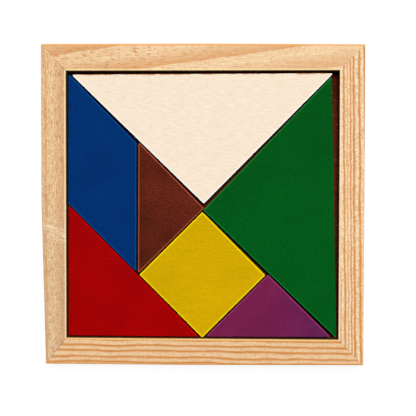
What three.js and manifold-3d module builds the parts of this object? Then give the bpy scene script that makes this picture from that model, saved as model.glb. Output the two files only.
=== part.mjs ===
// Tangram puzzle: seven loose wooden pieces in a mitred pine tray with a captured base panel.
// Millimetres, +Z up. The origin is the middle of the tray's underside, and +Y points to the back rail.
import * as THREE from 'three';
import { mergeVertices } from 'three/addons/utils/BufferGeometryUtils.js';
import Module from 'manifold-3d';

// The set of pieces
const setSide = 107; // side of the square that the seven pieces make up
const pieceThickness = 6;
const sawKerf = 0.5; // wood lost along each cut between two pieces
const pieceEase = 0.3; // sanded round along every arris of a piece
const cornerBlunt = 0.1; // further rounding of a piece's upright corners

// The opening, which the set lies in with some play
const sidePlay = 3; // opening's width beyond the set
const endPlay = 1; // opening's depth beyond the set
const setGap = 0.2; // from the set's near left corner to the left and front rails

// The tray's rails
const sideRailWidth = 10;
const endRailWidth = 10.7;
const rimRise = 1; // rails' tops above the pieces
const innerEase = 0.5; // round along the rails' inner arrises
const outerEase = 0.8; // round along the rails' outer arrises
const trayCornerRadius = 0.6; // round on the tray's upright corners, sanded after gluing
const glueLine = 0.1; // between the two faces of a mitre

// The base panel and the groove that holds it
const lipHeight = 2; // rail left below the groove
const panelThickness = 3;
const grooveDepth = 4;
const grooveClearance = 0.15; // above the panel
const panelEdgeGap = 0.5; // between the panel's edge and the groove's bottom

// Finishes
const pine = { color: 0xe6bc8e, roughness: 0.65, metalness: 0 };
const hardboard = { color: 0x54220e, roughness: 0.8, metalness: 0 };
const stainRoughness = 0.5;

// Fineness of round stretches
const arcSegments = 6;
const easeSegments = 3;

// Sizes that follow
const openingWidth = setSide + sidePlay;
const openingDepth = setSide + endPlay;
const trayWidth = openingWidth + 2 * sideRailWidth;
const trayDepth = openingDepth + 2 * endRailWidth;
const floorHeight = lipHeight + panelThickness;
const railHeight = floorHeight + pieceThickness + rimRise;
const quarter = setSide / 4;

// Each piece's corners are in quarters of the set's side, anticlockwise from above, with the set's near
// left corner at 0, 0. Each was sawn from its own board, so some corners lie a little off the quarters.
// trim is the share of a saw kerf that each edge lost to sawing and sanding. slide says where the loose
// piece has come to rest: across as a share of the side play, along as a share of the kerf. swing is the
// share of the side play that its far end has turned through.
const pieces = [
  {
    name: 'large_triangle_natural',
    colour: 0xf7e5ce,
    corners: [[0, 4], [2.025, 2.02], [4, 4]],
    trim: 0.65,
    slide: [0.4, -0.4],
    swing: 0.13,
  },
  {
    name: 'large_triangle_green',
    colour: 0x025419,
    corners: [[4, 4], [2, 2], [4, 0]],
    trim: 0.8,
    slide: [0.4, -2],
    swing: 0.78,
  },
  {
    name: 'parallelogram_blue',
    colour: 0x02306e,
    corners: [[-0.033, 4.033], [-0.033, 2.033], [1.033, 0.967], [1.033, 2.967]],
    trim: 0.9,
    slide: [0.36, -0.5],
    swing: -0.1,
  },
  {
    name: 'small_triangle_brown',
    colour: 0x5c2215,
    corners: [[1, 3], [1, 1], [2, 2]],
    trim: 0.1,
    slide: [0.73, -1.8],
    swing: -0.1,
  },
  {
    name: 'medium_triangle_red',
    colour: 0xa00105,
    corners: [[0, 2], [0, 0], [2, 0]],
    trim: 0.3,
    slide: [0.15, 0.9],
    swing: -0.1,
  },
  {
    name: 'square_yellow',
    colour: 0xd3a903,
    corners: [[2, 2], [1, 1], [2, 0], [3, 1]],
    trim: 1.8,
    slide: [0.47, -2.4],
    swing: 0,
  },
  {
    name: 'small_triangle_purple',
    colour: 0x71204d,
    corners: [[3, 1], [2, 0], [4, 0]],
    trim: 1.3,
    slide: [0.42, 0],
    swing: 0.16,
  },
];

const wasm = await Module();
wasm.setup();

function toSolid(geometry) {
  const bare = geometry.clone();
  bare.deleteAttribute('normal');
  bare.deleteAttribute('uv');
  const merged = mergeVertices(bare);
  return new wasm.Manifold(new wasm.Mesh({
    numProp: 3,
    vertProperties: new Float32Array(merged.attributes.position.array),
    triVerts: new Uint32Array(merged.index.array),
  }));
}

function toGeometry(solid) {
  const mesh = solid.getMesh();
  const indexed = new THREE.BufferGeometry();
  indexed.setAttribute('position', new THREE.BufferAttribute(mesh.vertProperties, mesh.numProp));
  indexed.setIndex(new THREE.BufferAttribute(mesh.triVerts, 1));
  const geometry = indexed.toNonIndexed();
  geometry.computeVertexNormals();
  return geometry;
}

function woodMesh(name, geometry, finish) {
  const mesh = new THREE.Mesh(geometry, new THREE.MeshStandardMaterial(finish));
  mesh.name = name;
  return mesh;
}

// A convex outline, anticlockwise, with its corners rounded. Each corner's arc is centred where the
// edges would meet if they were moved in by the radius as well as by the trim.
function roundedOutline(corners, trim, radius) {
  const count = corners.length;
  const normals = corners.map((corner, i) => {
    const edge = corners[(i + 1) % count].clone().sub(corner);
    return new THREE.Vector2(edge.y, -edge.x).normalize();
  });
  const outline = new THREE.Shape();
  corners.forEach((corner, i) => {
    const before = normals[(i + count - 1) % count];
    const after = normals[i];
    const inward = -(trim + radius) / (1 + before.dot(after));
    const centre = before.clone().add(after).multiplyScalar(inward).add(corner);
    outline.absarc(centre.x, centre.y, radius, before.angle(), after.angle(), false);
  });
  outline.closePath();
  return outline;
}

function rectangle(width, depth) {
  const half = new THREE.Vector2(width / 2, depth / 2);
  return [[-1, -1], [1, -1], [1, 1], [-1, 1]].map(([x, y]) => new THREE.Vector2(x, y).multiply(half));
}

// A rail's section: x runs from the outer face to the inner one, y up. The groove opens inwards.
function railSection(width) {
  const grooveTop = floorHeight + grooveClearance;
  const section = new THREE.Shape();
  section.absarc(outerEase, outerEase, outerEase, Math.PI, 1.5 * Math.PI, false);
  section.absarc(width - innerEase, innerEase, innerEase, -0.5 * Math.PI, 0, false);
  section.lineTo(width, lipHeight);
  section.lineTo(width - grooveDepth, lipHeight);
  section.lineTo(width - grooveDepth, grooveTop);
  section.lineTo(width, grooveTop);
  section.absarc(width - innerEase, railHeight - innerEase, innerEase, 0, 0.5 * Math.PI, false);
  section.absarc(outerEase, railHeight - outerEase, outerEase, 0.5 * Math.PI, Math.PI, false);
  section.closePath();
  return section;
}

// The section is run to length and its ends are slid back to the mitres, which go from the tray's outer
// corners to the opening's corners. The rail lies along X with its outer face at y = 0, inwards being -Y.
function railGeometry(length, width, neighbourWidth) {
  const geometry = new THREE.ExtrudeGeometry(railSection(width), {
    depth: length,
    bevelEnabled: false,
    curveSegments: arcSegments,
  });
  geometry.translate(0, 0, -length / 2);
  const slope = neighbourWidth / width;
  const glueShare = 0.5 * glueLine * Math.hypot(1, slope);
  const place = geometry.attributes.position;
  for (let i = 0; i < place.count; i += 1) {
    const slidBack = place.getX(i) * slope + glueShare;
    place.setZ(i, place.getZ(i) - Math.sign(place.getZ(i)) * slidBack);
  }
  const inwards = new THREE.Vector3(0, -1, 0);
  const up = new THREE.Vector3(0, 0, 1);
  const along = new THREE.Vector3(-1, 0, 0);
  geometry.applyMatrix4(new THREE.Matrix4().makeBasis(inwards, up, along));
  return geometry;
}

// The tray's upright corners are sanded round: the rail keeps what lies inside the tray's rounded plan.
function sandedRail(length, width, neighbourWidth, trayReach) {
  const plan = roundedOutline(rectangle(length, trayReach), 0, trayCornerRadius);
  const block = new THREE.ExtrudeGeometry(plan, {
    depth: 3 * railHeight,
    bevelEnabled: false,
    curveSegments: arcSegments,
  });
  block.translate(0, -trayReach / 2, -railHeight);
  return toGeometry(toSolid(railGeometry(length, width, neighbourWidth)).intersect(toSolid(block)));
}

function makeRails() {
  const rails = new THREE.Group();
  const endRail = sandedRail(trayWidth, endRailWidth, sideRailWidth, trayDepth);
  const sideRail = sandedRail(trayDepth, sideRailWidth, endRailWidth, trayWidth);
  const sides = [
    ['back_rail', endRail, 0, trayDepth / 2],
    ['left_rail', sideRail, 0.5 * Math.PI, trayWidth / 2],
    ['front_rail', endRail, Math.PI, trayDepth / 2],
    ['right_rail', sideRail, -0.5 * Math.PI, trayWidth / 2],
  ];
  for (const [name, geometry, turn, reach] of sides) {
    const rail = woodMesh(name, geometry, pine);
    rail.rotation.z = turn;
    rail.position.set(-Math.sin(turn) * reach, Math.cos(turn) * reach, 0);
    rails.add(rail);
  }
  return rails;
}

function makeBasePanel() {
  const reach = 2 * (grooveDepth - panelEdgeGap);
  const sheet = new THREE.BoxGeometry(openingWidth + reach, openingDepth + reach, panelThickness);
  const panel = woodMesh('base_panel', sheet, hardboard);
  panel.position.z = lipHeight + panelThickness / 2;
  return panel;
}

function makePiece({ name, colour, corners, trim, slide, swing }) {
  const marked = corners.map(([x, y]) => new THREE.Vector2(x, y).multiplyScalar(quarter));
  const middle = marked.reduce((sum, corner) => sum.add(corner), new THREE.Vector2());
  middle.divideScalar(marked.length);
  const outline = roundedOutline(
    marked.map((corner) => corner.clone().sub(middle)),
    trim * sawKerf,
    pieceEase + cornerBlunt,
  );
  const geometry = new THREE.ExtrudeGeometry(outline, {
    depth: pieceThickness - 2 * pieceEase,
    bevelThickness: pieceEase,
    bevelSize: pieceEase,
    bevelOffset: -pieceEase,
    bevelSegments: easeSegments,
    curveSegments: arcSegments,
  });
  geometry.translate(0, 0, pieceEase);
  const piece = woodMesh(name, geometry, { color: colour, roughness: stainRoughness, metalness: 0 });
  piece.position.set(
    setGap - openingWidth / 2 + middle.x + slide[0] * sidePlay,
    setGap - openingDepth / 2 + middle.y + slide[1] * sawKerf,
    floorHeight,
  );
  piece.rotation.z = Math.atan2(swing * sidePlay, setSide);
  return piece;
}

const tangram = new THREE.Group();
tangram.add(makeRails());
tangram.add(makeBasePanel());
tangram.add(...pieces.map(makePiece));

export default tangram;
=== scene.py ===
# %% [markdown]
# # A tangram puzzle in a pine tray
# The toy is a flat square tray of four mitred pine rails round a thin brown panel. Seven loose
# wooden pieces fill it: two large triangles, a medium one, two small ones, a square and a
# parallelogram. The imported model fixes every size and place. This lesson gives each piece the
# surface of the real one: sanded edges, growth rings, dye that took unevenly, and soft light to see
# them by.

# %% Load the frame
import math
from functools import partial

import bpy
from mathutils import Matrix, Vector
from mathutils.geometry import convex_hull_2d, intersect_line_line


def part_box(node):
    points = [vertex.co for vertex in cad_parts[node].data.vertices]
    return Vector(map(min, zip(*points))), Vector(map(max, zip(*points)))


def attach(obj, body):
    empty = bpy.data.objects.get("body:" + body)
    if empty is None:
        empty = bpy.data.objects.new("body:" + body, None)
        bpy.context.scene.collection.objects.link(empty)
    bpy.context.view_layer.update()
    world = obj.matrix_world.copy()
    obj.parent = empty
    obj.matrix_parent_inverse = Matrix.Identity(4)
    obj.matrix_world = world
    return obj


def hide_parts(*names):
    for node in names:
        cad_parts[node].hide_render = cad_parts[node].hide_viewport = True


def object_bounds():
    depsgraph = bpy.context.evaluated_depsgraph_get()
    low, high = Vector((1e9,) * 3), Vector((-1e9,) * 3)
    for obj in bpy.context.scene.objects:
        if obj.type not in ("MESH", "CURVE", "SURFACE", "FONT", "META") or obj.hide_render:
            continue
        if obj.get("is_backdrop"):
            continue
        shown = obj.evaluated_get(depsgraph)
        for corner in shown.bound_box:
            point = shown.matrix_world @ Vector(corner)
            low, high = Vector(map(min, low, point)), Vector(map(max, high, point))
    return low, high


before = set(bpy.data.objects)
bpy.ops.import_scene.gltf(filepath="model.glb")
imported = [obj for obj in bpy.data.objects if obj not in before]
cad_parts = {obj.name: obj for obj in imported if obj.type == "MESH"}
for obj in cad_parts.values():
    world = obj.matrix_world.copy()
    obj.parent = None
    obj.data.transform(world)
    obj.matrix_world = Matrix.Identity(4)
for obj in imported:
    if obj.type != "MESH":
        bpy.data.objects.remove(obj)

MM = 0.001
cad_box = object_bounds()

# %% [markdown]
# ## Sizes come from the frame
# Nothing is measured twice. The rails' boxes give the rim's height and the opening, and the panel's
# box gives the floor that the pieces lie on and the height of the groove that holds the panel. What
# a box can't show is given where it is first needed: the small rounds that sandpaper leaves, the
# slack in the groove and the glue in the mitres.

# %% Read the tray's sizes
tray_low, tray_high = (Vector(corner) for corner in cad_box)
opening_low = Vector((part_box("left_rail")[1].x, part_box("front_rail")[1].y))
opening_high = Vector((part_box("right_rail")[0].x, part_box("back_rail")[0].y))
panel_low, panel_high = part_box("base_panel")
rim = tray_high.z
piece_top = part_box("square_yellow")[1].z
side_width = opening_low.x - tray_low.x
end_width = opening_low.y - tray_low.y
print(f"rim {rim / MM:.1f} mm, rails {side_width / MM:.1f} and {end_width / MM:.1f} mm wide")

# %% [markdown]
# ## Small helpers for node trees
# Shaders and Geometry Nodes are both trees of nodes joined by links. Written out in full, each node
# takes five lines, so these helpers do the usual work: a socket that is handed over is linked, and
# any other value is typed into the input.

# %% Add a node or a sum
def fill(tree, socket, value):
    if isinstance(value, bpy.types.NodeSocket):
        tree.links.new(value, socket)
    else:
        socket.default_value = value


def add(tree, kind, options=None, **inputs):
    node = tree.nodes.new(kind)
    for name, value in (options or {}).items():
        setattr(node, name, value)
    for name, value in inputs.items():
        fill(tree, node.inputs[name.replace("_", " ")], value)
    return node


def calc(tree, operation, *values, kind="ShaderNodeMath"):
    node = add(tree, kind, {"operation": operation})
    for socket, value in zip(node.inputs, values):
        fill(tree, socket, value)
    return node.outputs[0]


vector_calc = partial(calc, kind="ShaderNodeVectorMath")


def scaled(tree, vector, size):
    options = {"operation": "SCALE"}
    return add(tree, "ShaderNodeVectorMath", options, Vector=vector, Scale=size).outputs[0]


def split(tree, vector):
    return add(tree, "ShaderNodeSeparateXYZ", Vector=vector).outputs


# %% Write a colour, and blend two
MIX_SHARE, MIX_FIRST, MIX_SECOND, MIX_RESULT = 0, 6, 7, 2  # a Mix node's sockets for colours


def blend_colours(tree, share, first, second, mode="MIX"):
    node = add(tree, "ShaderNodeMix", {"data_type": "RGBA", "blend_type": mode})
    for index, value in ((MIX_SHARE, share), (MIX_FIRST, first), (MIX_SECOND, second)):
        fill(tree, node.inputs[index], value)
    return node.outputs[MIX_RESULT]


def srgb(red, green, blue):
    """A colour as a paint program gives it, 0 to 255, as the light values that shaders use."""
    def linear(part):
        part /= 255
        return part / 12.92 if part <= 0.04045 else ((part + 0.055) / 1.055) ** 2.4
    return (linear(red), linear(green), linear(blue), 1.0)


print(f"a paint program's middle grey sends back {srgb(128, 128, 128)[0]:.0%} of the light")

# %% [markdown]
# ## Running a Geometry Nodes tree
# A rail is one section run along a line, and every loose piece is one edge section run round an
# outline, so both are Geometry Nodes trees: drawn once, and used eleven times with other sizes. The
# outline goes in as a mesh of edges, which may carry marks, numbers on its points that the sweep
# takes along. The result is kept as a plain mesh, and the object that held the modifier is thrown
# away.

# %% Outlines in, plain meshes out
def geometry_tree(name, sizes):
    tree = bpy.data.node_groups.new(name, "GeometryNodeTree")
    for side in ("INPUT", "OUTPUT"):
        tree.interface.new_socket("Geometry", in_out=side, socket_type="NodeSocketGeometry")
    for size, kind in sizes.items():
        tree.interface.new_socket(size, in_out="INPUT", socket_type="NodeSocket" + kind)
    return tree, add(tree, "NodeGroupInput").outputs


def finish_tree(tree, geometry, material):
    realized = add(tree, "GeometryNodeRealizeInstances", Geometry=geometry).outputs[0]
    dressed = add(tree, "GeometryNodeSetMaterial", Geometry=realized, Material=material).outputs[0]
    add(tree, "NodeGroupOutput", Geometry=dressed)
    print(f"{tree.name}: {len(tree.nodes)} nodes")


def outline_mesh(name, points, closed, marks=None):
    mesh = bpy.data.meshes.new(name)
    last = len(points) if closed else len(points) - 1
    mesh.from_pydata(points, [(i, (i + 1) % len(points)) for i in range(last)], [])
    for mark, values in (marks or {}).items():
        mesh.attributes.new(mark, "FLOAT", "POINT").data.foreach_set("value", values)
    return mesh


def keep(name, data):
    made = bpy.data.objects.new(name, data)
    bpy.context.scene.collection.objects.link(made)
    return made


def grow(name, outline, tree, sizes):
    seed = keep(name + "_outline", outline)
    modifier = seed.modifiers.new(tree.name, "NODES")
    modifier.node_group = tree
    for socket in tree.interface.items_tree:
        if socket.in_out == "INPUT" and socket.name in sizes:
            modifier[socket.identifier] = sizes[socket.name]
    evaluated = seed.evaluated_get(bpy.context.evaluated_depsgraph_get())
    grown = bpy.data.meshes.new_from_object(evaluated)
    bpy.data.objects.remove(seed)
    print(f"{name}: {len(grown.polygons)} faces")
    return keep(name, grown)


# %% [markdown]
# ## The finish of bare pine
# Pine shows its years: pale early wood that darkens to a thin line of orange late wood and stops. A
# rail is sawn from a board, so those layers run along it as slanted sheets. A wave texture would
# give even stripes, but real rings are uneven, so each rail has a short list of rings, given by how
# far from its outer face they lie, and a colour ramp turns the list into bands. Noise that is
# stretched along the grain makes the rings wander and adds fibres and short flecks. Marks on the
# mesh say where the inner arrises are painted pale, partly sanding wear and partly painted
# highlight, where the outer arrises are painted darker, partly side grain and partly painted shade,
# and where the inner face below the pieces' tops is painted dark brown as painted shade.

# %% Start a finish, and end it
def new_finish(name):
    material = bpy.data.materials.new(name)
    material.use_nodes = True
    tree = material.node_tree
    return material, tree, tree.nodes["Principled BSDF"]


def grain_space(tree, place=(0, 0, 0), turn=0.0):
    """Coordinates in millimetres along, across and up the grain, from a given place."""
    coordinates = add(tree, "ShaderNodeTexCoord").outputs["Object"]
    return add(tree, "ShaderNodeMapping", {"vector_type": "TEXTURE"}, Vector=coordinates,
               Location=place, Rotation=(0, 0, turn), Scale=(MM, MM, MM)).outputs[0]


def end_finish(tree, surface, colour, roughness, gloss, height, strength, relief):
    """Fills the shader's sockets. A plain number is set on its socket, and the rest is linked."""
    bump = add(tree, "ShaderNodeBump", Strength=strength, Distance=relief, Height=height)
    fill(tree, surface.inputs["Base Color"], colour)
    fill(tree, surface.inputs["Roughness"], roughness)
    fill(tree, surface.inputs["Specular IOR Level"], gloss)
    fill(tree, surface.inputs["Normal"], bump.outputs[0])


# %% Noise, ranges and marks
NOISE_LOW, NOISE_MIDDLE, NOISE_HIGH = 0.3, 0.5, 0.7  # most of a noise's values lie in this range


def noise(tree, space, pace, detail=2.0, rough=0.5):
    """pace is how often the noise changes in a millimetre along, across and up the grain."""
    paced = vector_calc(tree, "MULTIPLY", space, pace)
    return add(tree, "ShaderNodeTexNoise", Vector=paced, Scale=1.0, Detail=detail,
               Roughness=rough).outputs["Fac"]


def remap(tree, value, low, high, new_low=0.0, new_high=1.0):
    return add(tree, "ShaderNodeMapRange", Value=value, From_Min=low, From_Max=high,
               To_Min=new_low, To_Max=new_high).outputs[0]


def vary(tree, texture, low=0.0, high=1.0):
    """A number that goes from low to high with a noise."""
    return remap(tree, texture, NOISE_LOW, NOISE_HIGH, low, high)


def mark_value(tree, mark):
    return add(tree, "ShaderNodeAttribute", {"attribute_name": mark}).outputs["Fac"]


# %% Growth rings from a list
RAMP_LOW, RAMP_HIGH = -12.0, 20.0  # reach of the ring lists, in millimetres from the outer face
RING_CUP = 0.45                    # how far a ring leans inwards for each millimetre down
BEND_PACE = (0.05, 0.12, 0.12)     # of the noise that bends the rings over centimetres
KINK_PACE = (0.3, 1.2, 1.2)        # of the noise that kinks them over millimetres
KINK_SIZE = 0.5                    # millimetres


def ring_depth(tree, space, axes, tilt, wander):
    """Millimetres inwards from the outer face, across rings that slant, cup and wander."""
    inwards = calc(tree, "MULTIPLY", axes["Y"], -1.0)
    depth = calc(tree, "MULTIPLY_ADD", axes["X"], tilt, inwards)
    above_rim = calc(tree, "SUBTRACT", axes["Z"], rim / MM)
    depth = calc(tree, "MULTIPLY_ADD", above_rim, RING_CUP, depth)
    for pace, size in ((BEND_PACE, wander), (KINK_PACE, KINK_SIZE)):
        drift = calc(tree, "SUBTRACT", noise(tree, space, pace), NOISE_MIDDLE)
        depth = calc(tree, "MULTIPLY_ADD", drift, size, depth)
    return depth


def ring_ramp(tree, depth, rings):
    """Bands of late wood. Each ring darkens slowly from its outer side, and ends sharply."""
    ramp = add(tree, "ShaderNodeValToRGB", Fac=remap(tree, depth, RAMP_LOW, RAMP_HIGH))
    stops = ramp.color_ramp.elements
    stops[0].color = stops[1].color = (0, 0, 0, 1)
    for middle, strength, rise, fall in rings:
        for spot, level in ((middle - rise, 0), (middle, strength), (middle + fall, 0)):
            stop = stops.new((spot - RAMP_LOW) / (RAMP_HIGH - RAMP_LOW))
            stop.color = (level, level, level, 1)
    return ramp.outputs["Color"]


# %% Scratches across a rail
SCUFF_LEAN = math.radians(20)  # from straight across the rail
SCUFF_PACE = (2.6, 0.14, 1.0)  # of the noise that draws the scratches
SCUFF_EDGE = (0.52, 0.6)       # noise between which a scratch begins and is full
SCUFF_REACH = (1.0, 6.0)       # millimetres beside the place between which the scratches die out
SCUFF_DEPTH = (1.0, 0.3)       # millimetres below the rim between which they come in


def scuffs(tree, axes, middle, strength):
    """A few pale scratches across the top of a rail, close to one place along it."""
    beside = calc(tree, "MULTIPLY", axes["Y"], -math.sin(SCUFF_LEAN))
    beside = calc(tree, "MULTIPLY_ADD", axes["X"], math.cos(SCUFF_LEAN), beside)
    lines = add(tree, "ShaderNodeCombineXYZ", X=beside, Y=axes["Y"]).outputs[0]
    lines = remap(tree, noise(tree, lines, SCUFF_PACE), *SCUFF_EDGE)
    away = calc(tree, "ABSOLUTE", calc(tree, "SUBTRACT", beside, middle))
    lines = calc(tree, "MULTIPLY", lines, remap(tree, away, *SCUFF_REACH, strength, 0.0))
    on_top = remap(tree, axes["Z"], *(rim / MM - depth for depth in SCUFF_DEPTH))
    return calc(tree, "MULTIPLY", lines, on_top)


# %% Fresh pine
PORE_TINT = (0.6, 1.0, 1.5)   # pores darken blue most, so they look warm
DASH_PACE = (0.35, 2.0, 2.0)  # of the noise that gives short flecks
DASH_EDGE = (0.58, 0.65)      # noise between which a fleck begins and is full
FLECK_REACH = 30.0            # millimetres from a rail's middle within which its flecks change


def fresh_pine(tree, space, axes, band, fibre, pores, stick):
    """Early and late wood, speckled by pores, with short flecks of late wood."""
    late_share = calc(tree, "ADD", band, vary(tree, fibre, 0.0, stick["streak"]))
    colour = blend_colours(tree, late_share, stick["early"], stick["late"])
    darker, lighter = ([1 + sign * stick["speck"] * part for part in PORE_TINT] + [1]
                       for sign in (-1, 1))
    specks = blend_colours(tree, vary(tree, pores), darker, lighter)
    colour = blend_colours(tree, 1.0, colour, specks, mode="MULTIPLY")
    dashes = remap(tree, noise(tree, space, DASH_PACE, detail=1.0), *DASH_EDGE)
    strength = remap(tree, axes["X"], -FLECK_REACH, FLECK_REACH, *stick["fleck"])
    return blend_colours(tree, calc(tree, "MULTIPLY", dashes, strength), colour, stick["late"])


# %% Handled pine
SCRATCHED = srgb(252, 230, 196)
SIDE_GRAIN_AND_SHADE = srgb(244, 170, 86)
# painted shade: the dark brown laid on the rails' inner faces below the pieces' tops
RECESS_PAINTED_SHADE = srgb(84, 48, 27)
THIN_PORES = (0.3, 0.6)  # pores between which the pale and the darkened arrises go from weak to full
WORN_AND_LIT_POWER = 0.8         # below 1, a mark spreads wider over its arris
EDGE_DARKENING_POWER = 3.0          # above 1, it draws in to the middle of the round


def handled_pine(tree, axes, colour, fibre, pores, stick):
    """Scratches, an end tint, arrises painted pale and darker, and painted shade in the recess."""
    if stick["scuff"] is not None:
        colour = blend_colours(tree, scuffs(tree, axes, *stick["scuff"]), colour, SCRATCHED)
    # a tint that comes in towards one end of some rails
    if stick["end_tint"] is not None:
        tint, start, end = stick["end_tint"]
        end_tint = remap(tree, axes["X"], start, end)
        colour = blend_colours(tree, end_tint, colour, tint, mode="MULTIPLY")
    # partly sanding wear, partly painted highlight: the inner arris painted pale
    worn_and_lit = calc(tree, "POWER", mark_value(tree, "inner_arris"), WORN_AND_LIT_POWER)
    worn_and_lit = calc(tree, "MULTIPLY", worn_and_lit, remap(tree, pores, *THIN_PORES, 0.8, 1.0))
    colour = blend_colours(tree, worn_and_lit, colour, stick["worn_and_lit"])
    # partly side grain, partly painted shade: the outer arrises painted darker orange
    edge_darkening = stick["edge_darkening"]
    darkened_edge = calc(tree, "POWER", mark_value(tree, "outer_arris"), EDGE_DARKENING_POWER)
    darkened_edge = calc(tree, "MULTIPLY", darkened_edge, remap(tree, pores, *THIN_PORES, 0.5 * edge_darkening, edge_darkening))
    colour = blend_colours(tree, darkened_edge, colour, SIDE_GRAIN_AND_SHADE)
    # painted shade: the inner faces below the pieces' tops are painted dark brown
    recess_shade = calc(tree, "MULTIPLY", mark_value(tree, "recess"), vary(tree, fibre, 0.82, 0.95))
    return blend_colours(tree, recess_shade, colour, RECESS_PAINTED_SHADE)


# %% The whole finish of a rail
FIBRE_PACE = (0.1, 2.4, 2.4)
PORE_PACE = (1.5, 2.3, 2.3)
RING_SOFTNESS = 0.7  # a power below 1 makes the rings' slow side darken sooner


def pine(name, place, turn, stick):
    material, tree, surface = new_finish(name)
    space = grain_space(tree, place, turn)
    axes = split(tree, space)
    fibre = noise(tree, space, FIBRE_PACE, detail=4.0, rough=0.65)
    pores = noise(tree, space, PORE_PACE, detail=2.0, rough=0.6)
    depth = ring_depth(tree, space, axes, stick["tilt"], stick["wander"])
    band = calc(tree, "POWER", ring_ramp(tree, depth, stick["rings"]), RING_SOFTNESS)
    band = calc(tree, "MULTIPLY", band, vary(tree, pores, 0.7, 1.2))
    colour = fresh_pine(tree, space, axes, band, fibre, pores, stick)
    colour = handled_pine(tree, axes, colour, fibre, pores, stick)
    height = calc(tree, "ADD", fibre, calc(tree, "MULTIPLY", pores, 0.6))
    height = calc(tree, "MULTIPLY_ADD", band, 0.5, height)
    end_finish(tree, surface, colour, roughness=remap(tree, fibre, 0.2, 0.8, 0.55, 0.72),
               gloss=0.2, height=height, strength=0.35, relief=0.05 * MM)
    return material


# %% [markdown]
# ## The rails
# A rail is a length of grooved pine, mitred at both ends. The section is drawn once for each width,
# with small arcs where the arrises were sanded. The tree runs it along a line, then slides every
# point back in proportion to its distance from the outer face, which is what a mitre saw does to
# the ends. The stations crowd together near the ends, so that the tray's upright corners can be
# rounded there too. A mitre that has opened a hair at its inner end just has a slightly larger
# slope. The outside was sanded by hand after gluing, so some rails taper from their middle towards
# one end, and the neighbour there is shorter by as much.

# %% The rail's section
OUTER_EASE = 0.6 * MM     # round along the rails' outer arrises
INNER_EASE = 0.25 * MM    # round along the rails' inner arrises
GROOVE_SLACK = 0.15 * MM  # groove's height beyond the panel
GROOVE_REACH = 0.5 * MM   # groove's depth beyond the panel's edge
ARC_STEPS = 8             # points along a sanded arris, less one
FACE_STEP = 0.6 * MM      # between points on the flat faces


def arc(centre, radius, start, end, steps):
    angles = [math.radians(start + (end - start) * i / steps) for i in range(steps + 1)]
    return [(centre[0] + radius * math.cos(a), centre[1] + radius * math.sin(a)) for a in angles]


def in_pairs(items):
    """Each item and the next one, all round a closed loop."""
    return zip(items, items[1:] + items[:1])


def rail_section(width):
    """Points as (inwards, up), all round the section from the outer bottom arris."""
    groove = width - (opening_low.x - panel_low.x) - GROOVE_REACH
    groove_low, groove_top = panel_low.z, panel_high.z + GROOVE_SLACK
    corners = arc((OUTER_EASE, OUTER_EASE), OUTER_EASE, 180, 270, ARC_STEPS)
    corners += arc((width - INNER_EASE, INNER_EASE), INNER_EASE, 270, 360, ARC_STEPS)
    corners += [(width, groove_low), (groove, groove_low)]
    corners += [(groove, groove_top), (width, groove_top)]
    corners += arc((width - INNER_EASE, rim - INNER_EASE), INNER_EASE, 0, 90, ARC_STEPS)
    corners += arc((OUTER_EASE, rim - OUTER_EASE), OUTER_EASE, 90, 180, ARC_STEPS)
    section = []
    for here, ahead in in_pairs([Vector(corner) for corner in corners]):
        parts = max(1, round((ahead - here).length / FACE_STEP))
        section += [here.lerp(ahead, i / parts) for i in range(parts)]
    return section


print("points round a rail's section:", len(rail_section(end_width)))

# %% The section's marks
TOUCH = 0.001 * MM  # places this close are the same


def rail_outline(width):
    """The section with three marks: the arris over the opening, which is painted pale, the outer
    arrises, and the recess, which is the inner face from the pieces' tops down."""
    section = rail_section(width)
    marks = {"inner_arris": [], "outer_arris": [], "recess": []}
    for u, z in section:
        below_rim = rim - z
        at_rim = below_rim < INNER_EASE + TOUCH
        at_edge = min(z, below_rim) < OUTER_EASE + TOUCH
        in_recess = rim - piece_top + TOUCH < below_rim < rim - panel_low.z
        marks["inner_arris"].append(float(u > width - INNER_EASE - TOUCH and at_rim))
        marks["outer_arris"].append(float(u < OUTER_EASE + TOUCH and at_edge))
        marks["recess"].append(float(u > width - TOUCH and in_recess))
    return outline_mesh("rail_section", [(u, -z, 0) for u, z in section], True, marks)


# %% The tree that runs a section to length
RAIL_STATIONS = 180

rail_tree, given = geometry_tree("mitred_rail", {
    "Length": "Float", "Width": "Float", "Glue Line": "Float",
    "Left Slope": "Float", "Right Slope": "Float", "Left Short": "Float", "Right Short": "Float",
    "Left Taper": "Float", "Right Taper": "Float", "Corner Radius": "Float", "Relief": "Float",
    "Seed": "Float", "Turn": "Float", "Place": "Vector", "Material": "Material",
})
node, sums = partial(add, rail_tree), partial(calc, rail_tree)
vectors = partial(vector_calc, rail_tree)
half = sums("MULTIPLY", given["Length"], 0.5)

line = node("GeometryNodeCurvePrimitiveLine", Start=(-0.5, 0, 0), End=(0.5, 0, 0)).outputs[0]
line = node("GeometryNodeResampleCurve", {"mode": "COUNT"}, Curve=line,
            Count=RAIL_STATIONS).outputs[0]
share = split(rail_tree, node("GeometryNodeInputPosition").outputs[0])["X"]
station = sums("MULTIPLY", sums("SINE", sums("MULTIPLY", share, math.pi)), half)
station = node("ShaderNodeCombineXYZ", X=station).outputs[0]
line = node("GeometryNodeSetPosition", Geometry=line, Position=station).outputs[0]
section = node("GeometryNodeMeshToCurve", Mesh=given["Geometry"]).outputs[0]
swept = node("GeometryNodeCurveToMesh", Curve=line, Profile_Curve=section,
             Fill_Caps=True).outputs[0]
swept = node("GeometryNodeFlipFaces", Mesh=swept).outputs[0]
print("stations along a rail:", RAIL_STATIONS)

# %% The mitres
spot = split(rail_tree, node("GeometryNodeInputPosition").outputs[0])
inward = sums("MULTIPLY", spot["Y"], -1.0)
on_right = sums("GREATER_THAN", spot["X"], 0.0)


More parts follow.
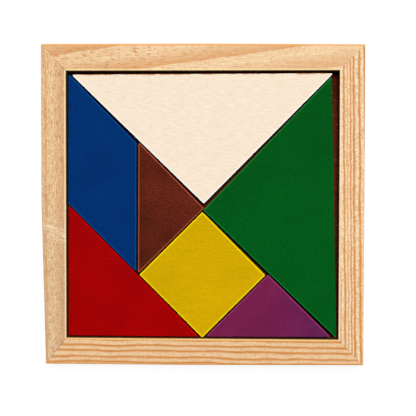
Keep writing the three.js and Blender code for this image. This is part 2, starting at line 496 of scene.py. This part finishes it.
def at_end(size):
    """A size that differs between the rail's two ends."""
    left, right = given["Left " + size], given["Right " + size]
    return sums("MULTIPLY_ADD", on_right, sums("SUBTRACT", right, left), left)


short_by = at_end("Short")
cut_back = sums("ADD", given["Glue Line"], short_by)
cut_back = sums("MULTIPLY_ADD", inward, at_end("Slope"), cut_back)
along = sums("MULTIPLY", spot["X"], sums("SUBTRACT", 1.0, sums("DIVIDE", cut_back, half)))
print("with mitres:", len(rail_tree.nodes), "nodes")

# %% The sanded corners and the tapers
radius = given["Corner Radius"]
straight = sums("SUBTRACT", sums("SUBTRACT", half, short_by), radius)
past_end = sums("SUBTRACT", sums("ABSOLUTE", along), straight)
past_side = sums("SUBTRACT", radius, inward)
from_centre = sums("MULTIPLY", past_side, past_side)
from_centre = sums("SQRT", sums("MULTIPLY_ADD", past_end, past_end, from_centre))
cut_off = sums("GREATER_THAN", past_end, 0.0)
cut_off = sums("MULTIPLY", cut_off, sums("GREATER_THAN", past_side, 0.0))
cut_off = sums("MULTIPLY", cut_off, sums("GREATER_THAN", from_centre, radius))
pull = sums("SUBTRACT", sums("DIVIDE", radius, sums("MAXIMUM", from_centre, TOUCH)), 1.0)
pull = sums("MULTIPLY_ADD", pull, cut_off, 1.0)
along = sums("MULTIPLY", sums("SIGN", spot["X"]), sums("MULTIPLY_ADD", past_end, pull, straight))
across = sums("SUBTRACT", sums("MULTIPLY", past_side, pull), radius)

taper = sums("MULTIPLY", at_end("Taper"), sums("DIVIDE", sums("ABSOLUTE", along), half))
from_inside = sums("ADD", sums("DIVIDE", across, given["Width"]), 1.0)
across = sums("SUBTRACT", across, sums("MULTIPLY", taper, from_inside))
mitred = node("ShaderNodeCombineXYZ", X=along, Y=across, Z=spot["Z"]).outputs[0]
shaped = node("GeometryNodeSetPosition", Geometry=swept, Position=mitred).outputs[0]
print("with corners and tapers:", len(rail_tree.nodes), "nodes")

# %% Grain raised by sanding, then the rail's place in the tray
RIPPLE_PACE = (60.0, 1500.0, 1500.0)  # changes in a metre along, across and up the grain
SHARP_ANGLE = math.radians(40)        # an edge that turns by more is shown sharp

ripple = vectors("MULTIPLY", node("GeometryNodeInputPosition").outputs[0], RIPPLE_PACE)
ripple = vectors("ADD", ripple, node("ShaderNodeCombineXYZ", X=given["Seed"]).outputs[0])
ripple = node("ShaderNodeTexNoise", Vector=ripple, Scale=1.0, Detail=2.0).outputs["Fac"]
ripple = sums("MULTIPLY", sums("SUBTRACT", ripple, NOISE_MIDDLE), given["Relief"])
raised = scaled(rail_tree, node("GeometryNodeInputNormal").outputs[0], ripple)
shaped = node("GeometryNodeSetPosition", Geometry=shaped, Offset=raised).outputs[0]
sharp = sums("GREATER_THAN", node("GeometryNodeInputMeshEdgeAngle").outputs[0], SHARP_ANGLE)
shaped = node("GeometryNodeSetShadeSmooth", {"domain": "EDGE"}, Geometry=shaped, Selection=sharp,
              Shade_Smooth=False).outputs[0]
turned = node("ShaderNodeCombineXYZ", Z=given["Turn"]).outputs[0]
placed = node("GeometryNodeTransform", Geometry=shaped, Translation=given["Place"], Rotation=turned)
finish_tree(rail_tree, placed.outputs[0], given["Material"])

# %% [markdown]
# ## Four different sticks
# The four rails were cut from different places in a board, so no two have the same grain. The back
# rail was sawn almost along the rings, which cross it in long slanting tongues. The left one shows
# only flecks. The front and right ones have close rings along their length. One texture on all four
# would look printed, so each stick has its own rings, tones and wear. Each ring is written as its
# distance from the outer face, its strength, and how slowly it darkens and how fast it ends, in
# millimetres. Some rails are greyer towards one end: a tint, and the two places along the rail
# between which it comes in.

# %% The sticks
# turn is in degrees from the back rail. tilt says how far the rings slant for each millimetre
# along, and wander how many millimetres they stray. A pair under fleck, open or taper is for the
# left and right ends, as seen from the middle of the tray. A scuff is a place along the rail and a
# strength. streak and speck say how much the fibres and pores show, and the number after them how
# dark the outer arrises are painted, partly side grain and partly painted shade.
sticks = {
    "back_rail": {
        "turn": 0.0, "tilt": 0.14, "wander": 2.0, "fleck": (0.9, 0.35),
        "open": (0.12 * MM, 0.0), "taper": (0.0, 0.5 * MM), "scuff": None,
        "early": srgb(248, 220, 178), "late": srgb(215, 145, 76), "worn_and_lit": srgb(254, 230, 174),
        "streak": 0.4, "speck": 0.17, "edge_darkening": 1.0, "end_tint": ((0.94, 0.9, 0.86, 1.0), -20.0, -45.0),
        "rings": [(-10.0, 0.4, 4.0, 0.5), (-4.1, 0.5, 5.0, 0.4), (6.3, 0.45, 5.5, 0.4),
                  (16.4, 0.34, 6.0, 0.6)],
    },
    "left_rail": {
        "turn": 90.0, "tilt": 0.006, "wander": 1.6, "fleck": (0.45, 0.75),
        "open": (0.06 * MM, 0.09 * MM), "taper": (1.6 * MM, 0.0), "scuff": (-8.6, 0.95),
        "early": srgb(241, 204, 157), "late": srgb(186, 124, 72), "worn_and_lit": srgb(255, 230, 172),
        "streak": 0.34, "speck": 0.3, "edge_darkening": 0.2, "end_tint": ((0.88, 0.9, 0.93, 1.0), 30.0, -45.0),
        "rings": [(-7.0, 0.6, 2.0, 0.4), (-2.5, 0.6, 1.8, 0.4), (1.9, 0.22, 1.2, 0.5),
                  (9.6, 0.26, 4.5, 0.3)],
    },
    "front_rail": {
        "turn": 180.0, "tilt": -0.005, "wander": 2.0, "fleck": (0.25, 0.25),
        "open": (0.06 * MM, 0.07 * MM), "taper": (0.5 * MM, 0.0), "scuff": None,
        "early": srgb(236, 202, 158), "late": srgb(204, 124, 40), "worn_and_lit": srgb(249, 202, 128),
        "streak": 0.22, "speck": 0.18, "edge_darkening": 0.4, "end_tint": None,
        "rings": [(-5.6, 0.8, 1.2, 0.5), (-3.4, 0.8, 1.2, 0.5), (-1.2, 0.8, 1.2, 0.5),
                  (0.8, 0.85, 1.0, 0.6), (2.9, 0.85, 0.8, 0.5), (5.5, 0.9, 0.8, 0.5),
                  (7.7, 0.9, 0.8, 0.5), (10.1, 1.0, 0.7, 0.5)],
    },
    "right_rail": {
        "turn": -90.0, "tilt": 0.0125, "wander": 1.0, "fleck": (0.25, 0.25),
        "open": (0.0, 0.06 * MM), "taper": (0.0, 0.0), "scuff": (12.0, 0.5),
        "early": srgb(246, 219, 181), "late": srgb(211, 131, 44), "worn_and_lit": srgb(254, 233, 186),
        "streak": 0.2, "speck": 0.4, "edge_darkening": 0.2, "end_tint": ((0.96, 0.96, 0.96, 1.0), 10.0, 45.0),
        "rings": [(-5.4, 0.8, 1.2, 0.4), (-2.8, 0.8, 1.0, 0.4), (-0.3, 0.9, 0.9, 0.4),
                  (1.8, 1.0, 0.8, 0.5), (4.1, 1.0, 0.8, 0.4), (5.3, 0.85, 0.5, 0.4),
                  (6.6, 0.5, 0.4, 0.3), (8.0, 0.95, 0.7, 0.4), (9.8, 0.8, 0.6, 0.3)],
    },
}
print("rings:", ", ".join(f"{name} {len(stick['rings'])}" for name, stick in sticks.items()))

# %% Make the rails
TRAY_CORNER = 0.6 * MM   # round on the tray's upright corners
GLUE_LINE = 0.01 * MM    # seen between the faces of a tight mitre
RAIL_RELIEF = 0.05 * MM  # height of the raised grain
RAIL_SEED_STEP = 7.3     # keeps the ripples of the rails apart

tray_size = tray_high - tray_low
in_turn = list(sticks.values())
for order, (name, stick) in enumerate(sticks.items()):
    turn = math.radians(stick["turn"])
    width, neighbour, length, reach = end_width, side_width, tray_size.x, tray_high.y
    if name in ("left_rail", "right_rail"):
        width, neighbour, length, reach = side_width, end_width, tray_size.y, tray_high.x
    place = Vector((-math.sin(turn) * reach, math.cos(turn) * reach, 0))
    left_short = in_turn[(order + 1) % len(in_turn)]["taper"][1]
    right_short = in_turn[order - 1]["taper"][0]
    rail = grow("grained_" + name, rail_outline(width), rail_tree, {
        "Length": length, "Width": width, "Corner Radius": TRAY_CORNER,
        "Glue Line": 0.5 * GLUE_LINE * math.hypot(1, neighbour / width),
        "Left Slope": (neighbour - left_short + stick["open"][0]) / width,
        "Right Slope": (neighbour - right_short + stick["open"][1]) / width,
        "Left Short": left_short, "Right Short": right_short,
        "Left Taper": stick["taper"][0], "Right Taper": stick["taper"][1],
        "Relief": RAIL_RELIEF, "Seed": RAIL_SEED_STEP * order, "Turn": turn, "Place": place,
        "Material": pine("pine_" + name, place, turn, stick),
    })
    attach(rail, "tray")
    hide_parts(name)

# %% [markdown]
# ## The loose pieces
# Every piece is a flat board with sanded edges. A cube with a bevel would do for the square alone,
# so the tree works from an outline instead: it runs the section of the sanded edge round the
# outline and closes the top and the underside with flat faces. The sharp corners come from the
# frame, where the long edges of the imported piece would meet, and small arcs blunt them. The edge
# section carries two marks: one on its rounds, which take small nicks, and one on its flat side,
# which the finish makes darker, partly as sawn wood is and partly as painted shade for the gaps.

# %% Corners from the frame
LONG_EDGE = 5 * MM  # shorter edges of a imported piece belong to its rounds


def plan_corners(name):
    """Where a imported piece's long edges would meet, anticlockwise from above."""
    points = [vertex.co.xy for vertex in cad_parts[name].data.vertices]
    ring = [points[i] for i in convex_hull_2d(points)]
    edges = [(a, b) for a, b in in_pairs(ring) if (b - a).length > LONG_EDGE]
    corners = []
    for before, after in zip(edges[-1:] + edges[:-1], edges):
        ends = [end.to_3d() for end in (*before, *after)]
        corners.append(intersect_line_line(*ends)[0].xy)
    turn = sum(a.cross(b) for a, b in in_pairs(corners))
    return corners if turn > 0 else corners[::-1]


for name in ("square_yellow", "parallelogram_blue"):
    sides = [f"{(b - a).length / MM:.1f}" for a, b in in_pairs(plan_corners(name))]
    print(f"{name}: sides of", ", ".join(sides), "mm")

# %% Blunt corners
PIECE_CORNER = 0.4 * MM  # round on a loose piece's upright corners
CORNER_STEPS = 6         # points round such a corner, less one
EDGE_STEP = 0.5 * MM     # between points along a straight edge


def blunt_outline(corners, radius):
    """The outline with an arc in place of each corner, and points along the straight edges."""
    normals = []
    for here, ahead in in_pairs(corners):
        edge = (ahead - here).normalized()
        normals.append(Vector((edge.y, -edge.x)))
    stretches = []
    for i, corner in enumerate(corners):
        before, after = normals[i - 1], normals[i]
        centre = corner - radius * (before + after) / (1 + before.dot(after))
        start = math.degrees(math.atan2(before.y, before.x))
        end = start - math.degrees(before.angle_signed(after))
        stretches.append([Vector(p) for p in arc(centre, radius, start, end, CORNER_STEPS)])
    outline = []
    for stretch, following in in_pairs(stretches):
        outline += stretch
        parts = round((following[0] - stretch[-1]).length / EDGE_STEP)
        outline += [stretch[-1].lerp(following[0], i / parts) for i in range(1, parts)]
    return outline


square_outline = blunt_outline(plan_corners("square_yellow"), PIECE_CORNER)
print("points round the square:", len(square_outline))


# %% The section of a sanded edge
PIECE_EASE = 0.2 * MM  # round along a loose piece's arrises
BAND = 0.15 * MM       # flat strip beside the round, which the nicks die out in


def edge_section(low, high):
    """Points from the top face over the side to the underside, with marks on rounds and side."""
    ease = PIECE_EASE
    points = [(-ease - BAND, high)] + arc((-ease, high - ease), ease, 90, 0, ARC_STEPS)
    points += [(0, high - ease - BAND), (0, low + ease + BAND)]
    points += arc((-ease, low + ease), ease, 0, -90, ARC_STEPS) + [(-ease - BAND, low)]
    on_round, off_side = [1.0] * (ARC_STEPS + 1), [0.0] * (ARC_STEPS + 1)
    marks = {
        "arris": [0.0] + on_round + [0.0, 0.0] + on_round + [0.0],
        "sawn": off_side + [1.0] * 4 + off_side,
    }
    points = [(x, -z, 0) for x, z in points]
    return keep("edge_section", outline_mesh("edge_section", points, False, marks))


piece_edge = edge_section(panel_high.z, piece_top)
print("points over a piece's edge:", len(piece_edge.data.vertices))

# %% The tree that makes a board from an outline
board_tree, given = geometry_tree("sanded_board", {
    "Edge Section": "Object", "Cap Inset": "Float", "Low": "Float", "High": "Float",
    "Waver": "Float", "Nicks": "Float", "Seed": "Float", "Material": "Material",
})
node, sums = partial(add, board_tree), partial(calc, board_tree)
vectors = partial(vector_calc, board_tree)
WAVER = (120.0, 0.6)   # changes in a metre of the sawn line, and the level it wavers round
NICKS = (450.0, 0.58)  # changes in a metre of the nicks, and the level above which there is one


def wander(pace, level):
    """Noise that changes so often in a metre, less a level."""
    place = scaled(board_tree, node("GeometryNodeInputPosition").outputs[0], pace)
    place = vectors("ADD", place, node("ShaderNodeCombineXYZ", Z=given["Seed"]).outputs[0])
    texture = node("ShaderNodeTexNoise", Vector=place, Scale=1.0, Detail=2.0).outputs["Fac"]
    return sums("SUBTRACT", texture, level)


def along_normal(size):
    return scaled(board_tree, node("GeometryNodeInputNormal").outputs[0], size)


path = node("GeometryNodeMeshToCurve", Mesh=given["Geometry"]).outputs[0]
path = node("GeometryNodeSetCurveNormal", {"mode": "Z_UP"}, Curve=path).outputs[0]
waver = along_normal(sums("MULTIPLY", wander(*WAVER), given["Waver"]))
path = node("GeometryNodeSetPosition", Geometry=path, Offset=waver).outputs[0]
profile = node("GeometryNodeObjectInfo", Object=given["Edge Section"]).outputs["Geometry"]
profile = node("GeometryNodeMeshToCurve", Mesh=profile).outputs[0]
edge = node("GeometryNodeCurveToMesh", Curve=path, Profile_Curve=profile).outputs[0]
on_arris = node("GeometryNodeInputNamedAttribute", {"data_type": "FLOAT"}, Name="arris")
depth = sums("MULTIPLY", on_arris.outputs["Attribute"], given["Nicks"])
nick = sums("MULTIPLY", sums("MAXIMUM", wander(*NICKS), 0.0), depth)
nick = along_normal(sums("MULTIPLY", nick, -1.0))
edge = node("GeometryNodeSetPosition", Geometry=edge, Offset=nick).outputs[0]
by_face = partial(node, "GeometryNodeSetShadeSmooth", {"domain": "FACE"})
edge = by_face(Geometry=edge, Shade_Smooth=True).outputs[0]
print("a board's edge:", len(board_tree.nodes), "nodes")

# %% The board's flat faces
inset = along_normal(sums("MULTIPLY", given["Cap Inset"], -1.0))
inset = node("GeometryNodeSetPosition", Geometry=path, Offset=inset).outputs[0]
cap = node("GeometryNodeFillCurve", {"mode": "NGONS"}, Curve=inset).outputs[0]
cap = by_face(Geometry=cap, Shade_Smooth=False).outputs[0]


def cap_at(level):
    up = node("ShaderNodeCombineXYZ", Z=given[level]).outputs[0]
    return node("GeometryNodeTransform", Geometry=cap, Translation=up).outputs[0]


joined = node("GeometryNodeJoinGeometry")
under = node("GeometryNodeFlipFaces", Mesh=cap_at("Low")).outputs[0]
for part in (under, cap_at("High"), edge):
    board_tree.links.new(part, joined.inputs[0])
closed = node("GeometryNodeMergeByDistance", Geometry=joined.outputs[0], Distance=TOUCH).outputs[0]
finish_tree(board_tree, closed, given["Material"])

# %% [markdown]
# ## Dyed and bare wood
# Six pieces are dyed. Dye sinks into wood, so the colour isn't even: it clouds slowly over the
# face, it is speckled by the pores, and it shows the fibres faintly. Where two pieces meet, a
# lighter tone of the same colour is painted along the edge, partly dye rubbed thin and partly
# painted highlight. The sawn sides are painted darker, partly from soaking up more dye and partly
# as painted shade. The seventh piece is bare pale wood with fine streaks. It is painted white
# where it meets other pieces, partly rubbed and partly painted highlight, and its edge along the
# rail is brown in a ragged band. One flat colour would look like plastic, so each finish mixes
# noises of different sizes, and measures how far a point is from the edges of the outline.

# %% How far a point of a piece is from its nearest edge
BESIDE_RAIL = 5 * MM  # an edge with its middle this close to the opening's sides lies along a rail


def sort_edges(corners):
    """A piece's edges: those that meet other pieces, and those along the rails."""
    meeting, along_rails = [], []
    for here, ahead in in_pairs(corners):
        middle = (here + ahead) / 2
        room = min(*(middle - opening_low), *(opening_high - middle))
        (along_rails if room < BESIDE_RAIL else meeting).append((here, ahead))
    return meeting, along_rails


def edge_distance(tree, edges):
    """Millimetres inwards from the nearest of some edges of a convex outline, seen from above."""
    spot = add(tree, "ShaderNodeTexCoord").outputs["Object"]
    nearest = None
    for here, ahead in edges:
        along = (ahead - here).normalized()
        inwards = Vector((-along.y, along.x, 0)) / MM
        product = add(tree, "ShaderNodeVectorMath", {"operation": "DOT_PRODUCT"})
        fill(tree, product.inputs[0], spot)
        fill(tree, product.inputs[1], inwards)
        distance = calc(tree, "SUBTRACT", product.outputs["Value"], inwards.dot(here.to_3d()))
        nearest = distance if nearest is None else calc(tree, "MINIMUM", nearest, distance)
    return nearest


# %% Dyed wood
DYE_WEAR_AND_HIGHLIGHT = (0.12, 0.62)        # millimetres from an edge over which wear and painted highlight fade
CLOUD_PACE = (0.06, 0.06, 0.06)
SPECKLE_PACE = (1.5, 1.5, 1.5)
DYED_FIBRE_PACE = (0.1, 1.5, 1.5)
MISSED_PACE = (1.3, 1.9, 1.9)  # of the noise that leaves fibres without dye
MISSED_EDGE = (0.5, 0.72)      # noise between which a fibre takes all its dye and none
FADE_PACE = (0.1, 0.1, 0.1)
FADE_WANDER = 10.0             # millimetres that the border between two tints wanders over
UNDYED = srgb(232, 172, 112)
SOAKED_AND_SHADED = 0.3                   # what the sawn sides keep of the face's colour: part soaked dye, part painted shade


def dyed(corners, name, colour, rubbed_and_lit, seed, speckled, clouded, bare, reach=1.0, fade=None):
    """speckled and clouded say how much the dye varies over half a millimetre and over a few
    centimetres. bare is how much wood shows through where fibres took no dye, and reach how far
    the paler edge goes, partly wear and partly painted highlight. fade is a second tint and the
    two places along X, in millimetres, between which it comes in."""
    material, tree, surface = new_finish(name)
    space = grain_space(tree, (0, 0, seed * MM))
    if fade:
        tint, *limits = fade
        border = noise(tree, space, FADE_PACE)
        border = calc(tree, "MULTIPLY_ADD", border, FADE_WANDER, split(tree, space)["X"])
        share = remap(tree, border, *(limit + 0.5 * FADE_WANDER for limit in limits))
        colour = blend_colours(tree, share, colour, tint)
    cloud = noise(tree, space, CLOUD_PACE, detail=3.0)
    speckle = noise(tree, space, SPECKLE_PACE, detail=3.0, rough=0.7)
    fibre = noise(tree, space, DYED_FIBRE_PACE, detail=3.0)
    shade = vary(tree, cloud, 1 - clouded, 1 + clouded)
    shade = calc(tree, "MULTIPLY", shade, vary(tree, speckle, 1 - speckled, 1 + speckled))
    shade = calc(tree, "MULTIPLY", shade, vary(tree, fibre, 0.96, 1.04))
    tint = blend_colours(tree, 1.0, colour, shade, mode="MULTIPLY")
    missed = noise(tree, space, MISSED_PACE, detail=2.0, rough=0.6)
    tint = blend_colours(tree, remap(tree, missed, *MISSED_EDGE, 0.0, bare), tint, UNDYED)
    meeting, _ = sort_edges(corners)
    edge_limits = (reach * limit for limit in DYE_WEAR_AND_HIGHLIGHT)
    edge_share = remap(tree, edge_distance(tree, meeting), *edge_limits, 1.0, 0.0)
    edge_share = calc(tree, "MULTIPLY", edge_share, remap(tree, speckle, 0.35, 0.6, 0.65, 1.0))
    # partly wear, partly painted highlight: a paler tone painted along the edges that meet pieces
    tint = blend_colours(tree, edge_share, tint, rubbed_and_lit)
    # partly dye soaked up, partly painted shade: the sawn sides painted darker
    soaked_and_shaded = remap(tree, mark_value(tree, "sawn"), 0.0, 1.0, 1.0, SOAKED_AND_SHADED)
    tint = blend_colours(tree, 1.0, tint, soaked_and_shaded, mode="MULTIPLY")
    height = calc(tree, "MULTIPLY_ADD", fibre, 0.6, speckle)
    end_finish(tree, surface, tint, roughness=vary(tree, speckle, 0.48, 0.64), gloss=0.01,
               height=height, strength=0.3, relief=0.04 * MM)
    return material


# %% Bare wood
BARE_WEAR_AND_HIGHLIGHT = (0.3, 0.75)   # millimetres from an edge over which wear and painted highlight fade
RAIL_EDGE_BAND = (0.08, 0.42)   # the same for the brown band along the rail
RAGGED_DEPTH = 1.6          # how far that brown band wanders, in millimetres
RAGGED_PACE = (0.35, 0.35, 0.35)
STREAK_PACE = (0.3, 2.2, 2.2)
BARE_SPECKLE_PACE = (1.2, 2.0, 2.0)


def bare_basswood(corners, name, colour, streak_colour, rubbed_and_lit, rail_edge_tone, sawn):
    material, tree, surface = new_finish(name)
    space = grain_space(tree)
    streak = noise(tree, space, STREAK_PACE, detail=3.0, rough=0.65)
    speckle = noise(tree, space, BARE_SPECKLE_PACE, detail=3.0, rough=0.7)
    tint = blend_colours(tree, remap(tree, streak, 0.35, 0.75, 0.0, 0.7), colour, streak_colour)
    tint = blend_colours(tree, 1.0, tint, vary(tree, speckle, 0.94, 1.04), mode="MULTIPLY")
    meeting, along_rails = sort_edges(corners)
    # a ragged brown band along the edge at the rail
    ragged = calc(tree, "SUBTRACT", noise(tree, space, RAGGED_PACE, detail=3.0), NOISE_MIDDLE)
    ragged = calc(tree, "MULTIPLY_ADD", ragged, RAGGED_DEPTH, edge_distance(tree, along_rails))
    # partly wear, partly painted highlight: white painted along the edges that meet other pieces
    edges = ((edge_distance(tree, meeting), BARE_WEAR_AND_HIGHLIGHT, rubbed_and_lit), (ragged, RAIL_EDGE_BAND, rail_edge_tone))
    for distance, limits, tone in edges:
        edge_share = remap(tree, distance, *limits, 1.0, 0.0)
        edge_share = calc(tree, "MULTIPLY", edge_share, remap(tree, speckle, 0.3, 0.6, 0.7, 1.0))
        tint = blend_colours(tree, edge_share, tint, tone)
    # partly bare sawn wood, partly painted shade: the sawn sides painted darker than the face
    tint = blend_colours(tree, mark_value(tree, "sawn"), tint, sawn)
    height = calc(tree, "ADD", streak, speckle)
    end_finish(tree, surface, tint, roughness=vary(tree, streak, 0.6, 0.72), gloss=0.15,
               height=height, strength=0.3, relief=0.04 * MM)
    return material


# %% The seven finishes
piece_finishes = {
    "large_triangle_natural": partial(
        bare_basswood, name="bare_basswood", colour=srgb(252, 236, 215),
        streak_colour=srgb(236, 211, 180), rubbed_and_lit=srgb(255, 255, 252), rail_edge_tone=srgb(206, 134, 70),
        sawn=srgb(190, 148, 102)),
    "large_triangle_green": partial(
        dyed, name="green_dye", colour=srgb(0, 85, 24), rubbed_and_lit=srgb(16, 138, 54), seed=3.0,
        speckled=0.36, clouded=0.08, bare=0.003),
    "parallelogram_blue": partial(
        dyed, name="blue_dye", colour=srgb(0, 48, 110), rubbed_and_lit=srgb(12, 82, 160), seed=11.0,
        speckled=0.36, clouded=0.08, bare=0.003),
    "small_triangle_brown": partial(
        dyed, name="brown_dye", colour=srgb(88, 30, 17), rubbed_and_lit=srgb(190, 92, 60), seed=19.0,
        speckled=0.5, clouded=0.36, bare=0.035),
    "medium_triangle_red": partial(
        dyed, name="red_dye", colour=srgb(160, 0, 2), rubbed_and_lit=srgb(211, 3, 5), seed=27.0,
        speckled=0.28, clouded=0.08, bare=0.002),
    "square_yellow": partial(
        dyed, name="yellow_dye", colour=srgb(209, 167, 0), rubbed_and_lit=srgb(255, 232, 10), seed=35.0,
        speckled=0.15, clouded=0.05, bare=0.008, reach=1.35),
    "small_triangle_purple": partial(
        dyed, name="purple_dye", colour=srgb(114, 30, 75), rubbed_and_lit=srgb(168, 62, 120), seed=43.0,
        speckled=0.28, clouded=0.14, bare=0.016, fade=(srgb(103, 34, 90), 30.0, 50.0)),
}
for name in piece_finishes:
    meeting, along_rails = sort_edges(plan_corners(name))
    print(f"{name}: edges at other pieces {len(meeting)}, edges at a rail {len(along_rails)}")

# %% Make the pieces
WAVER_SIZE = 0.06 * MM  # how far a sawn line strays for a full step of the noise
NICK_SIZE = 0.8 * MM    # how deep the nicks go for a full step of the noise
PIECE_SEED_STEP = 3.1   # keeps the nicks of the pieces apart

for order, (name, finish) in enumerate(piece_finishes.items()):
    corners = plan_corners(name)
    outline = [(p.x, p.y, 0) for p in blunt_outline(corners, PIECE_CORNER)]
    board = grow("sanded_" + name, outline_mesh(name + "_plan", outline, True), board_tree, {
        "Edge Section": piece_edge, "Cap Inset": PIECE_EASE + BAND,
        "Low": panel_high.z, "High": piece_top, "Waver": WAVER_SIZE, "Nicks": NICK_SIZE,
        "Seed": PIECE_SEED_STEP * order, "Material": finish(corners),
    })
    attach(board, name)
    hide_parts(name)
bpy.data.objects.remove(piece_edge)

# %% [markdown]
# ## The base panel
# Hardboard is wood fibre pressed flat. Its upper side is smooth and brown, with a little wood dust,
# and painted darker at the end along the back rail as painted shade. Its underside keeps the print
# of the wire screen that it was pressed on, a fine square weave. The imported sheet already has the
# right shape, so it stays, and only gets this finish.

# %% Hardboard
PRESSED_DARK, PRESSED_LIGHT = srgb(60, 20, 5), srgb(108, 41, 14)
FLUFF_PACE = (1.3, 1.3, 1.3)
BACK_END_SHADE = (0.66, 0.45, 0.4, 1.0)  # painted shade kept at the panel's end along the back rail
BACK_SHADE_FROM = (36.0, 46.0)           # millimetres behind the middle between which that comes in
DUST = srgb(170, 128, 84)
DUST_PACE = (0.9, 0.9, 0.9)
DUST_EDGE = (0.66, 0.74)           # noise between which a speck of dust begins and is full
DUST_SHARE = 0.2                   # how much of the panel's colour a full speck covers
SCREEN_PITCH = 1.4                 # millimetres between the wires


def hardboard(name):
    material, tree, surface = new_finish(name)
    space = grain_space(tree)
    axes = split(tree, space)
    fluff = noise(tree, space, FLUFF_PACE, detail=4.0, rough=0.7)
    colour = blend_colours(tree, vary(tree, fluff), PRESSED_DARK, PRESSED_LIGHT)
    # painted shade: the panel darkened towards the back rail
    back_shade = remap(tree, axes["Y"], *BACK_SHADE_FROM)
    colour = blend_colours(tree, back_shade, colour, BACK_END_SHADE, mode="MULTIPLY")
    dust = remap(tree, noise(tree, space, DUST_PACE, detail=1.0), *DUST_EDGE, 0.0, DUST_SHARE)
    colour = blend_colours(tree, dust, colour, DUST)
    turns = 2 * math.pi / SCREEN_PITCH
    wires = [calc(tree, "SINE", calc(tree, "MULTIPLY", axes[side], turns)) for side in "XY"]
    weave = calc(tree, "MULTIPLY", *wires)
    below = calc(tree, "LESS_THAN", axes["Z"], 0.5 * (panel_low.z + panel_high.z) / MM)
    height = calc(tree, "MULTIPLY_ADD", weave, below, calc(tree, "MULTIPLY", fluff, 0.5))
    end_finish(tree, surface, colour, roughness=0.75, gloss=0.05, height=height, strength=0.6,
               relief=0.08 * MM)
    return material


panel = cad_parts["base_panel"]
panel.data.materials.clear()
panel.data.materials.append(hardboard("hardboard"))
print("base_panel:", len(panel.data.polygons), "faces")

# %% [markdown]
# ## Camera, floor and light
# The picture looks almost straight down from about half a metre, from a little behind the middle
# and to the right of it. The floor is plain white. To the camera it mostly glows, so that it stays
# white in the picture, and the rest of it takes the tray's soft shadow. The light is one soft lamp,
# high and a little to the back, and a faint even sky, balanced so that a colour looks about as
# bright as it is written.

# %% Camera
IMAGE_SIDE = 416
FOCAL_PIXELS = 1120.6
SENSOR_WIDTH = 36
CAMERA_PLACE = (20.6 * MM, 14.6 * MM, rim + 449.7 * MM)
CAMERA_TURN = (-0.0349, 0.0404, 0.0016)  # radians from straight down

camera_data = bpy.data.cameras.new("camera")
camera_data.sensor_width = SENSOR_WIDTH
camera_data.lens = SENSOR_WIDTH * FOCAL_PIXELS / IMAGE_SIDE
camera = keep("camera", camera_data)
camera.location = CAMERA_PLACE
camera.rotation_euler = CAMERA_TURN
bpy.context.scene.camera = camera
print(f"camera {CAMERA_PLACE[2] / MM:.0f} mm up, with a {camera_data.lens:.0f} mm lens")

# %% Floor
FLOOR_REACH = 2.0       # metres from the middle to each side
FLOOR_DROP = 0.05 * MM  # keeps the floor just clear of the tray's underside
PAPER_WHITE = (0.97, 0.97, 0.97, 1)
WHITE = (1, 1, 1, 1)
GLOW = 0.92             # share of the floor's look that glows


def seen(tree):
    """1 for the camera and for what gloss and glass show it, and 0 for light on the object."""
    rays = add(tree, "ShaderNodeLightPath").outputs
    through = calc(tree, "MAXIMUM", rays["Is Glossy Ray"], rays["Is Transmission Ray"])
    return calc(tree, "MAXIMUM", rays["Is Camera Ray"], through)


def empty_tree(owner):
    owner.use_nodes = True
    owner.node_tree.nodes.clear()
    return owner.node_tree


paper = bpy.data.materials.new("white_floor")
tree = empty_tree(paper)
matt = add(tree, "ShaderNodeBsdfDiffuse", Color=PAPER_WHITE).outputs[0]
glow = add(tree, "ShaderNodeEmission", Color=WHITE, Strength=1.0).outputs[0]
glowing = add(tree, "ShaderNodeMixShader", Fac=calc(tree, "MULTIPLY", seen(tree), GLOW))
tree.links.new(matt, glowing.inputs[1])
tree.links.new(glow, glowing.inputs[2])
add(tree, "ShaderNodeOutputMaterial", Surface=glowing.outputs[0])

floor_mesh = bpy.data.meshes.new("floor")
floor_corners = [(x * FLOOR_REACH, y * FLOOR_REACH, -FLOOR_DROP)
                 for x, y in ((-1, -1), (1, -1), (1, 1), (-1, 1))]
floor_mesh.from_pydata(floor_corners, [], [(0, 1, 2, 3)])
floor_mesh.materials.append(paper)
floor = keep("floor", floor_mesh)
floor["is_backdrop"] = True
print(f"floor {2 * FLOOR_REACH:.0f} m square")

# %% Sky and lamp
SKY = 0.14                       # what the sky gives of the light on a level face
LAMP_SHARE = 0.86                # what the lamp gives of it
LAMP_SPREAD = math.radians(16)   # how wide the lamp looks, which softens its shadows
TOWARDS_LAMP = Vector((0.08, 0.26, 0.85)).normalized()

world = bpy.data.worlds.new("sky")
bpy.context.scene.world = world
tree = empty_tree(world)
strength = calc(tree, "MULTIPLY_ADD", seen(tree), 1.0 - SKY, SKY)
sky = add(tree, "ShaderNodeBackground", Color=WHITE, Strength=strength)
add(tree, "ShaderNodeOutputWorld", Surface=sky.outputs[0])

lamp_data = bpy.data.lights.new("soft_lamp", "SUN")
lamp_data.angle = LAMP_SPREAD
lamp_data.energy = LAMP_SHARE * math.pi / TOWARDS_LAMP.z
lamp = keep("soft_lamp", lamp_data)
lamp.rotation_euler = TOWARDS_LAMP.to_track_quat("Z", "Y").to_euler()
bpy.context.scene.view_settings.view_transform = "Standard"
print(f"lamp {lamp_data.energy:.2f} W per square metre")

# %% Write the two boxes and finish
boxes = {"cad": cad_box, "visual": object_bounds()}
for name, (low, high) in boxes.items():
    print(f"{name} box:", " by ".join(f"{(b - a) / MM:.2f}" for a, b in zip(low, high)), "mm")
